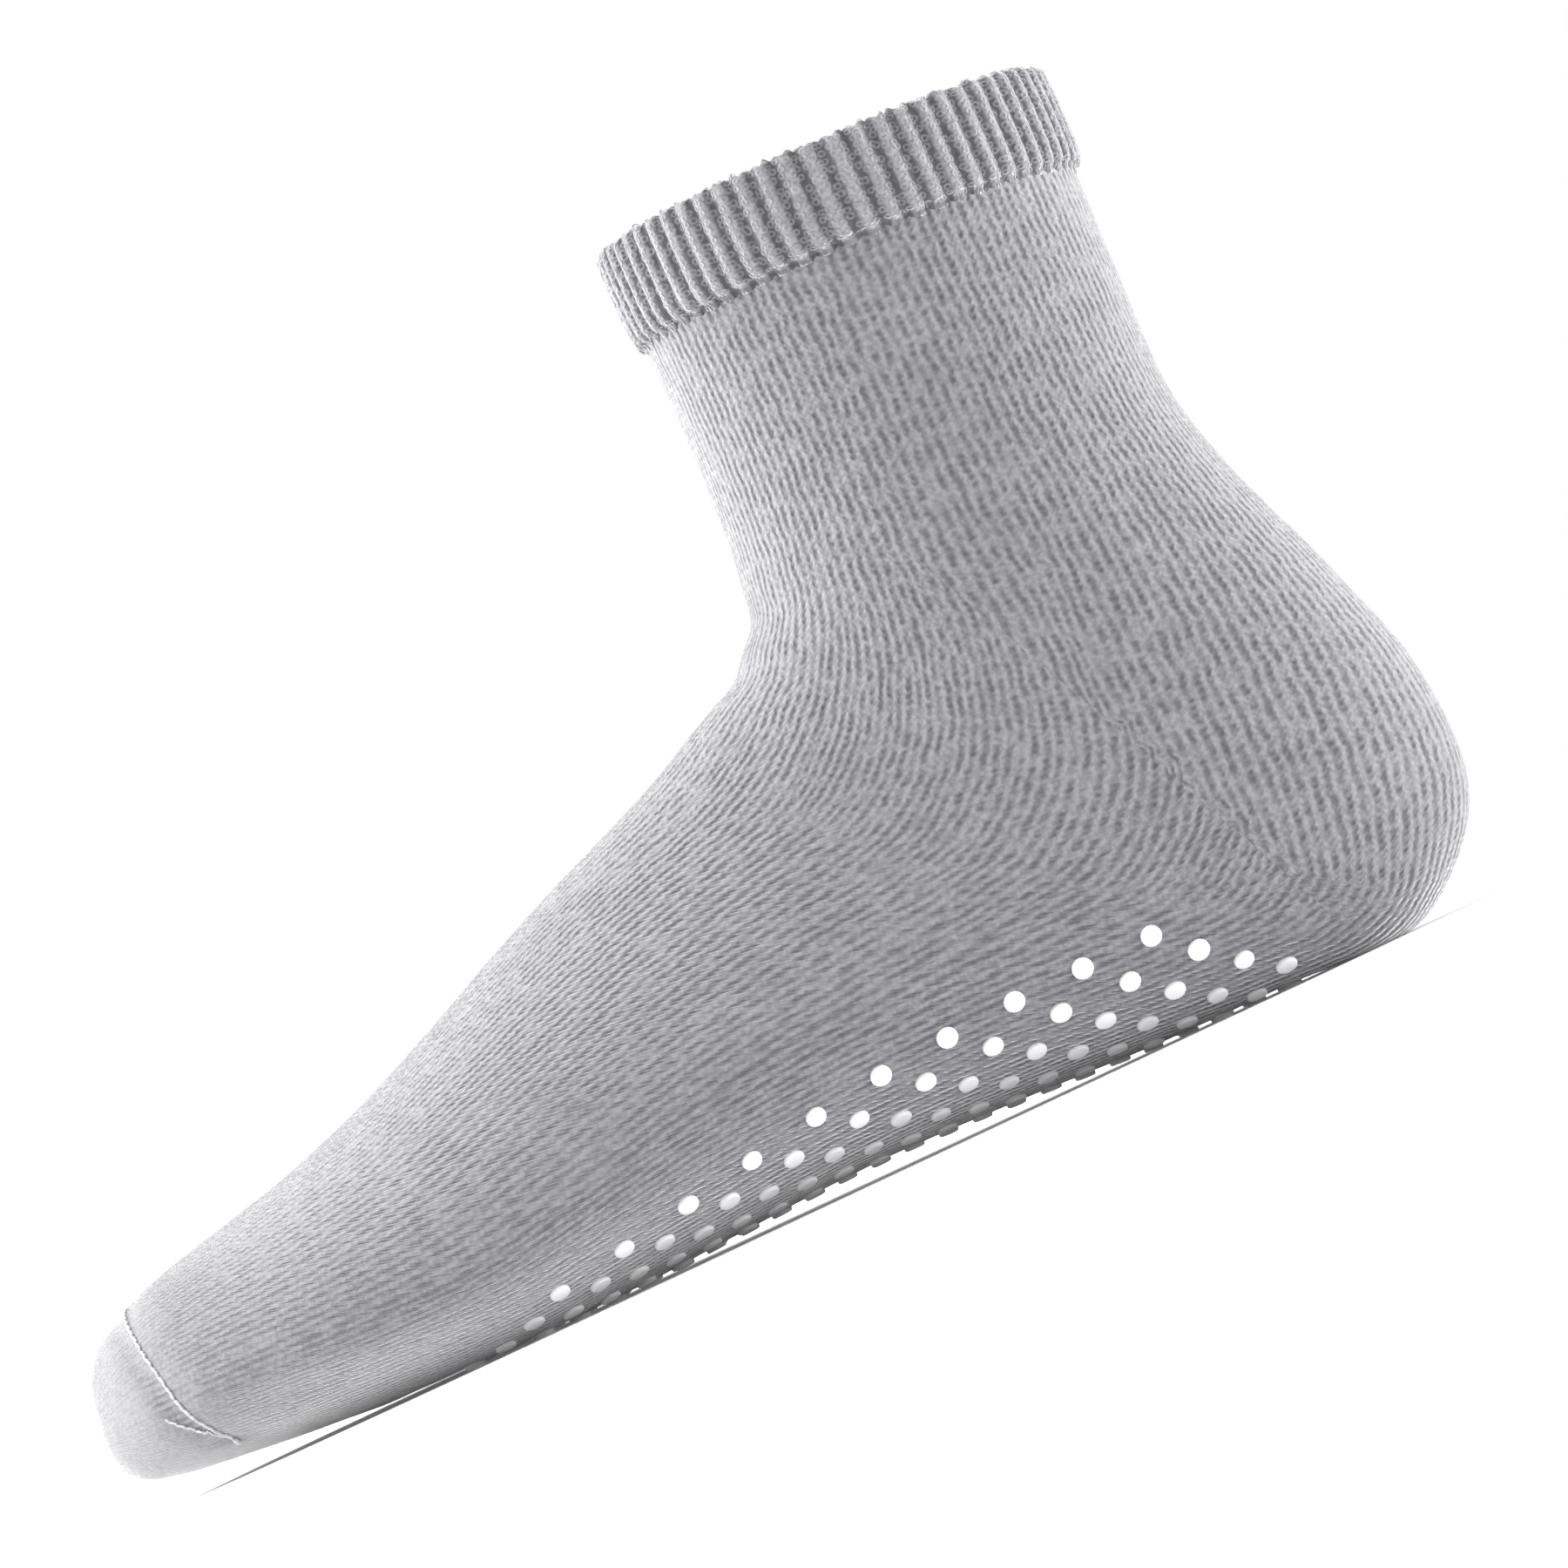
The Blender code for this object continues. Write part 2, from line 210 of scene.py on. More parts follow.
def knit_tube(name, columns, cuts):
    """A plain open tube, subdivided along its length once for each number in cuts."""
    bpy.ops.object.select_all(action="DESELECT")
    bpy.ops.mesh.primitive_cylinder_add(
        vertices=columns, radius=1.0, depth=1.0, location=(0, 0, 0.5), end_fill_type="NOTHING"
    )
    tube = bpy.context.active_object
    tube.name = tube.data.name = name
    bpy.ops.object.transform_apply(location=True, rotation=True, scale=True)
    bpy.ops.object.mode_set(mode="EDIT")
    bpy.ops.mesh.select_mode(type="EDGE")
    for number in cuts:
        bpy.ops.mesh.select_all(action="DESELECT")
        shape = bmesh.from_edit_mesh(tube.data)
        for edge in shape.edges:
            start, end = edge.verts
            edge.select_set(abs(start.co.z - end.co.z) > 1e-6)
        bmesh.update_edit_mesh(tube.data)
        bpy.ops.mesh.subdivide(number_cuts=number)
    bpy.ops.object.mode_set(mode="OBJECT")
    return tube


def tube_places(tube):
    """For each vertex of a tube, its turn from 0 to a whole one and its way down from 0 to 1."""
    points = np.array([vertex.co for vertex in tube.data.vertices])
    turns = np.arctan2(points[:, 0], points[:, 1]) % math.tau
    turns[turns > math.tau - 1e-4] = 0.0
    return turns, 1.0 - points[:, 2]


def wale_spacing(station, turn):
    """How far apart neighbouring wales run at a place, square to them."""
    step = 0.01
    along = on_last(station + step, turn) - on_last(station - step, turn)
    round_it = on_last(station, turn + step) - on_last(station, turn - step)
    return round_it.cross(along.normalized()).length / (2 * step) * math.tau / WALES


def store(mesh, name, values):
    """A number for each vertex, for the material to read."""
    layer = mesh.attributes.new(name, "FLOAT", "POINT")
    layer.data.foreach_set("value", np.asarray(values, dtype=np.float32))


def knit_map(mesh, name, wales, courses, whole):
    """A UV map in wales round and courses along. Faces across the join count on past the whole."""
    layer = mesh.uv_layers.new(name=name)
    for face in mesh.polygons:
        here = [wales[v] for v in face.vertices]
        for loop, v in zip(face.loop_indices, face.vertices):
            wale = wales[v] + (whole if max(here) - wales[v] > whole / 2 else 0.0)
            layer.data[loop].uv = (wale, courses[v])


WALES = 128
COURSE = 0.00125
BODY_COLUMNS = 128
BODY_CUTS = (11, 11)
TIP_RINGS = (0.75, 0.65, 0.5, 0.35)
SMOOTHING = 5
NEAR = 0.0001

body = knit_tube("knitted_body", BODY_COLUMNS, BODY_CUTS)
turns, downs = tube_places(body)
stations = BODY_TOP_ROW + downs * (TOE_ROW - BODY_TOP_ROW)
for vertex, turn, station in zip(body.data.vertices, turns, stations):
    vertex.co = on_last(station, turn)
store(body.data, "turn", turns)
store(body.data, "station", stations)

# The toe is closed by rings, each a share of the size of the one before.
bpy.ops.object.mode_set(mode="EDIT")
bpy.ops.mesh.select_mode(type="VERT")
bpy.ops.mesh.select_all(action="DESELECT")
shape = bmesh.from_edit_mesh(body.data)
tip = [vertex for vertex in shape.verts if vertex.co.x < on_last(TOE_ROW, 0).x + NEAR]
for vertex in tip:
    vertex.select_set(True)
shape.select_flush(True)
bmesh.update_edit_mesh(body.data)
for share in TIP_RINGS:
    bpy.ops.mesh.extrude_edges_move()
    bpy.ops.transform.resize(value=(share, share, share))
bpy.ops.mesh.merge(type="CENTER")
bpy.ops.mesh.select_all(action="SELECT")
bpy.ops.mesh.normals_make_consistent(inside=False)
bpy.ops.object.mode_set(mode="OBJECT")

# The knit is drawn smooth over the foot, all but its top edge.
rim_level = on_last(BODY_TOP_ROW, math.pi).z - NEAR
rim = [vertex.index for vertex in body.data.vertices if vertex.co.z > rim_level]
bpy.ops.object.mode_set(mode="EDIT")
bpy.ops.mesh.select_mode(type="VERT")
bpy.ops.mesh.select_all(action="SELECT")
shape = bmesh.from_edit_mesh(body.data)
shape.verts.ensure_lookup_table()
for i in rim:
    shape.verts[i].select_set(False)
shape.select_flush(False)
bmesh.update_edit_mesh(body.data)
bpy.ops.mesh.vertices_smooth(factor=0.5, repeat=SMOOTHING)
bpy.ops.object.mode_set(mode="OBJECT")

# Soft creases placed on the seen and unseen side. Each has its middle along the foot and
# its height, its half length and half width, the angle it rises at, and its depth (a ridge is
# positive). Lengths are in millimetres. The side is -1 for the outer one, 1 for the inner, 0 for both.
Crease = namedtuple("Crease", "u z side long wide rise depth")
CREASES = [
    Crease(93, 88, 0, 15, 2.6, 18, -0.45),
    Crease(94, 83, 0, 15, 2.2, 22, 0.30),
    Crease(97, 78, 0, 17, 2.6, 30, -0.40),
    Crease(83, 70, -1, 12, 3.0, 35, -0.22),
    Crease(80, 73, 1, 13, 3.0, 30, -0.25),
    Crease(22, 66, 0, 9, 2.6, -8, -0.30),
    Crease(19, 60, 0, 9, 2.4, -12, 0.20),
    Crease(60, 22, -1, 11, 2.6, -38, 0.18),
    Crease(118, 24, 1, 18, 4.0, 12, -0.25),
    Crease(196, 21, -1, 11, 3.0, 28, -0.18),
    Crease(199, 20, 1, 12, 3.0, 24, -0.20),
    Crease(207, 6, 0, 10, 1.5, -4, 0.25),
    Crease(205, 9, 0, 9, 1.8, 6, -0.25),
]
CREASE_FACING = (-0.3, 0.5)
RIPPLE = 0.00010
RIPPLE_SIZE = 0.008
SEAM_FROM_TOE = 0.0115
SEAM_SWEEP = 0.0105
SEAM_REACH = math.radians(135)
SEAM_TROUGH = 0.0006
SEAM_TROUGH_WIDTH = 0.0016


def crease_height(u, z, outward):
    """Sum of the creases at a place. The last value is the normal's part towards the inner side."""
    total = 0.0
    for crease in CREASES:
        rise = math.radians(crease.rise)
        ahead, up = u * 1000 - crease.u, z * 1000 - crease.z
        along = ahead * math.cos(rise) + up * math.sin(rise)
        across = up * math.cos(rise) - ahead * math.sin(rise)
        faced = 1.0 if crease.side == 0 else smooth(*CREASE_FACING, outward * crease.side)
        share = math.exp(-(along / crease.long) ** 2 - (across / crease.wide) ** 2)
        total += faced * crease.depth * share
    return total / 1000


def past_seam(u, turn):
    """How far a place lies in front of the linking seam's line."""
    part = min(turn, math.tau - turn) / SEAM_REACH
    return u - (FOOT_LENGTH - SEAM_FROM_TOE - SEAM_SWEEP * part**2)


turns = np.zeros(len(body.data.vertices), dtype=np.float32)
body.data.attributes["turn"].data.foreach_get("value", turns)
normals = [vertex.normal.copy() for vertex in body.data.vertices]
for vertex, normal, turn in zip(body.data.vertices, normals, turns):
    u = MIDDLE_U - vertex.co.x
    lift = RIPPLE * noise.noise(vertex.co / RIPPLE_SIZE)
    lift += crease_height(u, vertex.co.z, normal.y)
    if min(turn, math.tau - turn) < SEAM_REACH:
        ahead = past_seam(u, turn) / SEAM_TROUGH_WIDTH
        lift -= SEAM_TROUGH * math.exp(-((ahead - 1.0) ** 2))
    vertex.co += normal * lift
    vertex.co.z = max(vertex.co.z, floor_level(MIDDLE_U - vertex.co.x))

# Wales and courses. Along the leg and foot the wales are the tube's own columns. Behind the heel's
# gore they run straight down from the leg, and the two meet at the gore line on each side. A ladder
# of loose stitches runs forward and up from each corner of the toe's seam.
GORE_TOP = (0.0524, 0.0540)
GORE_END = (0.0345, 0.0150)
GORE_SOFT = 0.0005
GORE_LINE = 0.0007
LEG_HALF_DEPTH = 0.0396
LEG_HALF_WIDTH = 0.0330
BACK_HALF = math.radians(20)
BACK_SOFT = math.radians(30)
LADDER_TURNS = (math.radians(98), math.radians(134))
LADDER_WIDTH = 0.0036
LADDER_SOFT = 0.0006
LADDER_TOP = math.radians(62)
LADDER_TOP_SOFT = math.radians(24)

stations = np.zeros(len(body.data.vertices), dtype=np.float32)
body.data.attributes["station"].data.foreach_get("value", stations)
points = np.array([vertex.co for vertex in body.data.vertices])
us = MIDDLE_U - points[:, 0]
sides = points[:, 1] + MIDDLE_Y
heights = points[:, 2]

columns = np.round(turns / math.tau * BODY_COLUMNS).astype(int) % BODY_COLUMNS
lengths = np.zeros(len(points))
for column in range(BODY_COLUMNS):
    line = np.where(columns == column)[0]
    line = line[np.argsort(stations[line], kind="stable")]
    steps = np.linalg.norm(np.diff(points[line], axis=0), axis=1)
    lengths[line] = np.concatenate([[0.0], np.cumsum(steps)])

gore_along = np.array(GORE_TOP) - np.array(GORE_END)
gore_length = np.linalg.norm(gore_along)
gore_along /= gore_length
gore = (heights - GORE_END[1]) * gore_along[0] - (us - GORE_END[0]) * gore_along[1]
up_gore = (heights - GORE_END[1]) * gore_along[1] + (us - GORE_END[0]) * gore_along[0]
beyond = np.maximum(np.maximum(up_gore - gore_length, -up_gore), 0.0)
behind = np.clip(gore / (beyond + GORE_SOFT), 0.0, 1.0)
behind = behind * behind * (3 - 2 * behind)
wales = turns / math.tau * WALES
leg_angles = np.arctan2(-sides / LEG_HALF_WIDTH, (us - LEG_PLACE * FOOT_LENGTH) / LEG_HALF_DEPTH)
aside = (leg_angles / math.tau * WALES - wales + WALES / 2) % WALES - WALES / 2
leg_drop = on_last(BODY_TOP_ROW, math.pi / 2).z - heights
at_back = np.clip((np.abs(turns - math.pi) - BACK_HALF) / BACK_SOFT, 0.0, 1.0)
heel_wales = wales + aside * behind
heel_courses = lengths + (leg_drop - lengths) * at_back * behind
past = np.array([past_seam(u, turn) for u, turn in zip(us, turns)])
down_side = np.minimum(turns, math.tau - turns)
to_corner = np.clip((LADDER_TURNS[1] - down_side) / (LADDER_TURNS[1] - LADDER_TURNS[0]), 0.0, 1.0)
ladder = np.clip(past / LADDER_SOFT, 0.0, 1.0)
ladder *= np.clip((LADDER_WIDTH * to_corner - past) / LADDER_SOFT, 0.0, 1.0)
ladder *= np.clip((down_side - LADDER_TOP) / LADDER_TOP_SOFT, 0.0, 1.0)
store(body.data, "gore", gore)
store(body.data, "gore_away", np.hypot(gore, beyond))
store(body.data, "spread", [wale_spacing(station, turn) for station, turn in zip(stations, turns)])
store(body.data, "toe", past)
store(body.data, "ladder", ladder)
knit_map(body.data, "foot_knit", wales, lengths / COURSE, WALES)
knit_map(body.data, "heel_knit", heel_wales, heel_courses / COURSE, WALES)


def node(tree, kind, *inputs, output=0, sockets=None, **settings):
    """Adds a shader node with its inputs in order, or by number, and returns one of its outputs."""
    made = tree.nodes.new("ShaderNode" + kind)
    for name, value in settings.items():
        setattr(made, name, value)
    given = dict(enumerate(inputs))
    given.update(sockets or {})
    for place, value in given.items():
        if isinstance(value, bpy.types.NodeSocket):
            tree.links.new(value, made.inputs[place])
        elif value is not None:
            made.inputs[place].default_value = value
    return made.outputs[output]


def math_node(tree, operation, *inputs):
    return node(tree, "Math", *inputs, operation=operation)


def attribute(tree, name):
    """The number that store gave to each vertex."""
    return node(tree, "Attribute", attribute_name=name, output=2)


def object_place(tree):
    """Where a point of the piece lies, in metres."""
    return node(tree, "TexCoord", output=3)


def ramp(tree, value, low, high, start=0.0, end=1.0):
    """A soft slope from start to end as the value goes from low to high."""
    return node(tree, "MapRange", value, low, high, start, end, interpolation_type="SMOOTHSTEP")


def mix_colour(tree, share, first, second, kind="MIX"):
    return node(
        tree, "Mix", sockets={0: share, 6: first, 7: second}, output=2, data_type="RGBA", blend_type=kind
    )


def mix_number(tree, share, first, second):
    return node(tree, "Mix", sockets={0: share, 2: first, 3: second}, output=0)


def noise_node(tree, place, scale, detail=2.0):
    return node(tree, "TexNoise", place, None, scale, detail)


# Lengths across the knit are in wales, and along it in courses.
WALE_DRIFT = 0.8
DRIFT_SCALE = 0.35
TROUGH_EDGES = (0.05, 0.46)
BREAK_PITCH = (3.71, 0.52)
BREAK_EDGES = (0.36, 0.60)
FAINTEST_BREAK = 0.32
LOOP_SLANT = 1.2
LOOP_RELIEF = 0.14
STAGGER = 0.5
BEAT_EDGES = (-0.7, 0.7)


def jersey_stitches(tree, knit, faintest):
    """Plain knit from a map in wales and courses: depth in a gap between wales, for painted shade, and
    height.
    """
    parts = tree.nodes.new("ShaderNodeSeparateXYZ")
    tree.links.new(knit, parts.inputs[0])
    drift = noise_node(tree, knit, DRIFT_SCALE)
    wale = math_node(tree, "MULTIPLY_ADD", drift, WALE_DRIFT, parts.outputs[0])
    course = parts.outputs[1]
    border = math_node(tree, "ROUND", wale)
    away = math_node(tree, "ABSOLUTE", math_node(tree, "SUBTRACT", wale, border))
    trough = ramp(tree, away, *TROUGH_EDGES, 1.0, 0.0)
    own_wale = math_node(tree, "MULTIPLY", border, BREAK_PITCH[0])
    own_course = math_node(tree, "MULTIPLY", course, BREAK_PITCH[1])
    own = node(tree, "CombineXYZ", own_wale, own_course, 0.0)
    broken = ramp(tree, noise_node(tree, own, 1.0), *BREAK_EDGES, FAINTEST_BREAK, 1.0)
    slant = math_node(tree, "MULTIPLY_ADD", away, LOOP_SLANT, course)
    loop = math_node(tree, "SINE", math_node(tree, "MULTIPLY", slant, math.tau))
    turned = math_node(tree, "MULTIPLY_ADD", border, STAGGER, course)
    stitch = math_node(tree, "SINE", math_node(tree, "MULTIPLY", turned, math.tau))
    beat = ramp(tree, stitch, *BEAT_EDGES, faintest, 1.0)
    gap = math_node(tree, "MULTIPLY", trough, math_node(tree, "MULTIPLY", broken, beat))
    height = math_node(tree, "MULTIPLY_ADD", loop, LOOP_RELIEF, math_node(tree, "SUBTRACT", 1.0, gap))
    return gap, height


FIBRE_SCALE = 2600.0
FIBRE_RELIEF = 0.00012
HEATHER_SCALE = 1250.0
HEATHER_SHADES = (0.85, 1.17)
MOTTLE_SCALE = 110.0
MOTTLE_SHADES = (0.95, 1.04)


def yarn_surface(material, colour, height, relief):
    """Finishes a knit material: bump from the stitches and fibres, and the yarn's soft sheen."""
    tree = material.node_tree
    shader = tree.nodes["Principled BSDF"]
    place = object_place(tree)
    fibres = noise_node(tree, place, FIBRE_SCALE)
    stitched = node(tree, "Bump", sockets={0: 1.0, 1: relief, 3: height})
    fuzzy = node(tree, "Bump", sockets={0: 0.35, 1: FIBRE_RELIEF, 3: fibres, 4: stitched})
    heather = ramp(tree, noise_node(tree, place, HEATHER_SCALE, 1.0), 0.30, 0.70, *HEATHER_SHADES)
    mottled = ramp(tree, noise_node(tree, place, MOTTLE_SCALE), 0.25, 0.75, *MOTTLE_SHADES)
    shade = math_node(tree, "MULTIPLY", heather, mottled)
    grey = node(tree, "CombineColor", shade, shade, shade)
    tree.links.new(mix_colour(tree, 1.0, colour, grey, "MULTIPLY"), shader.inputs["Base Color"])
    tree.links.new(fuzzy, shader.inputs["Normal"])
    shader.inputs["Roughness"].default_value = 0.9
    shader.inputs["Sheen Weight"].default_value = 1.0
    shader.inputs["Sheen Roughness"].default_value = 0.4
    shader.inputs["Specular IOR Level"].default_value = 0.2


def new_material(name):
    material = bpy.data.materials.new(name)
    material.use_nodes = True
    return material


YARN_LIGHT = (0.250, 0.246, 0.264, 1.0)
# Painted shade for the gaps between stitches and the ladder's rungs; the yarn itself is the same grey.
YARN_SHADE_COLOUR = (0.092, 0.090, 0.099, 1.0)
TOE_SHADED_YARN = (0.186, 0.183, 0.197, 1.0)

# Where the wales would spread too wide, there are more of them: times as many, which come in
# between the spacings low and high.
CloserKnit = namedtuple("CloserKnit", "times low high")
CLOSER_KNIT = [CloserKnit(1.3125, 0.00190, 0.00196), CloserKnit(1.6875, 0.00235, 0.00245)]

# Places along the foot, measured forward from the toe's seam. Towards the toes the single stitches
# stand out more, beyond the seam all marks are fainter, and near the seam and past it the colour is
# painted a little darker, as painted shade that tones down the instep lamp's light on the toe.
MARKS_GROW = (-0.12, -0.05)
FAINTEST_MARKS = (0.80, 0.50)
TOE_CALM = (-0.009, -0.0015)
CALM_SHARE = 0.30
CALM_HEIGHT = 0.7
TOE_SHADE_RANGE = (-0.03, 0.01)
TIP = min(vertex.co.x for vertex in body.data.vertices)
TIP_CALM = (TIP + 0.0001, TIP + 0.0018)
RUNG_SCALE = 275.0
RUNG_BEND = 2.0
RUNG_EDGES = (0.40, 0.80)
RUNG_MARK = 0.85
RUNG_DEPTH = 0.6


def jersey_material(name, depth, relief):
    """The plain knit: how dark its painted shade in the stitch gaps and rungs is, and how high its relief.
    """
    material = new_material(name)
    tree = material.node_tree
    behind = math_node(tree, "GREATER_THAN", attribute(tree, "gore"), 0.0)
    foot_knit = node(tree, "UVMap", uv_map="foot_knit")
    heel_knit = node(tree, "UVMap", uv_map="heel_knit")
    maps = {0: behind, 4: foot_knit, 5: heel_knit}
    knit = node(tree, "Mix", sockets=maps, output=1, data_type="VECTOR")
    toe_side = attribute(tree, "toe")
    faintest = ramp(tree, toe_side, *MARKS_GROW, *FAINTEST_MARKS)
    gap, height = jersey_stitches(tree, knit, faintest)
    in_front = math_node(tree, "SUBTRACT", 1.0, behind)
    spread = math_node(tree, "MULTIPLY", attribute(tree, "spread"), in_front)
    for closer in CLOSER_KNIT:
        closer_map = node(tree, "VectorMath", knit, (closer.times, 1.0, 1.0), operation="MULTIPLY")
        closer_gap, closer_height = jersey_stitches(tree, closer_map, faintest)
        share = ramp(tree, spread, closer.low, closer.high)
        gap = mix_number(tree, share, gap, closer_gap)
        height = mix_number(tree, share, height, closer_height)

    off_gore = ramp(tree, attribute(tree, "gore_away"), 0.0, GORE_LINE)
    off_toe = ramp(tree, toe_side, *TOE_CALM, 1.0, CALM_SHARE)
    off_tip = ramp(tree, node(tree, "SeparateXYZ", object_place(tree)), *TIP_CALM)
    shown = math_node(tree, "MULTIPLY", math_node(tree, "MULTIPLY", off_gore, off_toe), off_tip)
    bands = node(tree, "TexWave", object_place(tree), RUNG_SCALE, RUNG_BEND, output=1, bands_direction="Z")
    # Each rung of the ladder is painted dark as painted shade in its gap, and dented by the bump.
    rung = math_node(tree, "MULTIPLY", attribute(tree, "ladder"), ramp(tree, bands, *RUNG_EDGES))
    stitch_marks = math_node(tree, "MULTIPLY", gap, shown)
    rung_marks = math_node(tree, "MULTIPLY", rung, RUNG_MARK)
    marks = math_node(tree, "MAXIMUM", stitch_marks, rung_marks)
    # The toe's darker base colour is painted shade against the instep lamp's light.
    base = mix_colour(tree, ramp(tree, toe_side, *TOE_SHADE_RANGE), YARN_LIGHT, TOE_SHADED_YARN)
    # The stitch gaps and ladder rungs are mixed towards the dark colour as painted shade.
    colour = mix_colour(tree, math_node(tree, "MULTIPLY", marks, depth), base, YARN_SHADE_COLOUR)
    calm = mix_number(tree, shown, CALM_HEIGHT, height)
    dented = math_node(tree, "SUBTRACT", calm, math_node(tree, "MULTIPLY", rung, RUNG_DEPTH))
    yarn_surface(material, colour, dented, relief)
    return material


body.data.materials.append(jersey_material("grey_jersey", depth=0.88, relief=0.00026))
body.data.materials.append(jersey_material("grey_jersey_back", depth=0.6, relief=0.00045))
wall = body.modifiers.new("wall", "SOLIDIFY")
wall.thickness = WALL
wall.offset = -1
wall.use_quality_normals = True
wall.material_offset = 1
bpy.context.view_layer.objects.active = body
body.select_set(True)
bpy.ops.object.modifier_apply(modifier="wall")
body.data.shade_smooth()
skin = BVHTree.FromPolygons(
    [vertex.co for vertex in body.data.vertices], [face.vertices for face in body.data.polygons]
)
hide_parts("knit_body")
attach(body, "root")


# Ribbed cuff
# A doubled welt of one by one rib with elastic in it, knitted first and turned down inside.
# Wide soft ribs stand between narrow dark grooves, and its lower edge laps over the leg.

RIB_COUNT = 64
RIB_POINTS = 8
RIB_DEPTH = 0.0010
GROOVE_SHARE = 0.24
CUFF_GAP = 0.00025
CUFF_SEED = 7
LOOP_HEIGHT = 0.00045
TUFT = 0.0006
TOP_EDGE = 0.0005
CUFF_COURSE = 0.00105
# Near the lower edge each groove bends sideways, by this share of a rib.
HOOK = 0.12
HOOK_START = 0.0125
# The cuff's rings, from its hidden lap up the outside, over the top and down inside: how far below
# the top, how far off the knit, and how much of the grooves' depth.
CuffRing = namedtuple("CuffRing", "drop lift rib")
CUFF_RINGS = [
    CuffRing(0.01350, CUFF_GAP, 0.0),
    CuffRing(0.01660, 0.00005, 0.0),
    CuffRing(0.01750, -0.00020, 0.0),
    CuffRing(0.01710, 0.00025, 0.3),
    CuffRing(0.01650, 0.00070, 0.6),
    CuffRing(0.01570, 0.00115, 0.9),
    CuffRing(0.01440, 0.00150, 1.0),
    CuffRing(0.01250, 0.00172, 1.0),
    CuffRing(0.00950, 0.00175, 1.0),
    CuffRing(0.00600, 0.00170, 1.0),
    CuffRing(0.00250, 0.00160, 1.0),
    CuffRing(0.00100, 0.00145, 1.0),
    CuffRing(0.00030, 0.00100, 0.9),
    CuffRing(0.00000, 0.00030, 0.8),
    CuffRing(0.00020, -0.00050, 0.6),
    CuffRing(0.00100, -0.00110, 0.4),
    CuffRing(0.00300, -0.00140, 0.3),
    CuffRing(0.00800, -0.00150, 0.3),
    CuffRing(0.01320, -0.00150, 0.2),
    CuffRing(0.01345, -0.00120, 0.0),
]
OUTER_RINGS = 14


def station_down(drop):
    """The station at a distance down from the cuff's top."""
    upper = CUFF_HEIGHT - CUFF_LAP
    if drop < upper:
        return drop / upper * BODY_TOP_ROW
    return BODY_TOP_ROW + (drop - upper) / CUFF_LAP * (CUFF_BOTTOM_ROW - BODY_TOP_ROW)


cuff = knit_tube("ribbed_cuff", RIB_COUNT * RIB_POINTS, (len(CUFF_RINGS) - 2,))
turns, downs = tube_places(cuff)
random.seed(CUFF_SEED)
tufts = [random.random() for _ in range(RIB_COUNT * RIB_POINTS)]
grooves = []
drops = []
for vertex, turn, down in zip(cuff.data.vertices, turns, downs):
    ring_number = round(down * (len(CUFF_RINGS) - 1))
    ring = CUFF_RINGS[ring_number]
    phase = turn / math.tau * RIB_COUNT
    away = abs(phase - round(phase))
    groove = math.exp(-((away / GROOVE_SHARE) ** 2))
    outside = ring_number < OUTER_RINGS
    hooked = HOOK * smooth(HOOK_START, CUFF_HEIGHT, ring.drop) if outside else 0.0
    place = on_last(
        station_down(ring.drop),
        turn + hooked * math.tau / RIB_COUNT,
        ring.lift - RIB_DEPTH * groove * ring.rib,
    )
    if ring.drop < TOP_EDGE:
        loops = abs(math.sin(phase * math.tau))
        place.z += LOOP_HEIGHT * (loops - 1) + TUFT * tufts[round(phase * RIB_POINTS) % len(tufts)] ** 3
    vertex.co = place
    grooves.append(groove if outside else groove * ring.rib)
    drops.append(ring.drop if outside else -ring.drop)
store(cuff.data, "groove", grooves)
store(cuff.data, "drop", drops)
rib_wales = turns / math.tau * RIB_COUNT * 2
knit_map(cuff.data, "rib_knit", rib_wales, np.array(drops) / CUFF_COURSE, RIB_COUNT * 2)

bpy.ops.object.mode_set(mode="EDIT")
bpy.ops.mesh.select_mode(type="EDGE")
bpy.ops.mesh.select_all(action="DESELECT")
bpy.ops.mesh.select_non_manifold(extend=False, use_wire=False, use_boundary=True)
bpy.ops.mesh.bridge_edge_loops()
bpy.ops.mesh.select_all(action="SELECT")
bpy.ops.mesh.normals_make_consistent(inside=False)
bpy.ops.object.mode_set(mode="OBJECT")

RIB_LIGHT = (0.292, 0.288, 0.305, 1.0)
# Painted shade colour for the grooves, the loops' holes and the cuff's lower edge.
RIB_SHADE_COLOUR = (0.052, 0.051, 0.057, 1.0)
RING_PITCH = (1.35, 0.85, 1.0)
RING_SCATTER = 0.75
RING_RADIUS = 0.30
RING_EDGES = (0.02, 0.24)
GROOVE_EDGES = (0.05, 0.60)
GROOVE_SHADE = 0.32
GROOVE_SPOTS = 0.40
RIB_SPOTS = 0.08
# The cuff's lower edge gets painted shade where it laps the leg, deepest in grooves; its lip too, to dull
# its sheen.
LOW_EDGE = (0.0156, 0.0170)
LOW_EDGE_SHADE = 0.15
LOW_EDGE_GROOVES = 0.75
LIP = (0.0164, 0.0172)
LIP_SHADE = 0.55


def rib_stitches(tree, knit):
    """Rib knit: small rings of yarn, with a spot in each and gaps between them that get painted shade."""
    evened = node(tree, "VectorMath", knit, RING_PITCH, operation="MULTIPLY")
    away = node(
        tree, "TexVoronoi",
        sockets={0: evened, 2: 1.0, 8: RING_SCATTER}, output=0, voronoi_dimensions="2D", feature="F1",
    )
    off_ring = math_node(tree, "ABSOLUTE", math_node(tree, "SUBTRACT", away, RING_RADIUS))
    ring = ramp(tree, off_ring, *RING_EDGES, 1.0, 0.0)
    return math_node(tree, "SUBTRACT", 1.0, ring), ring


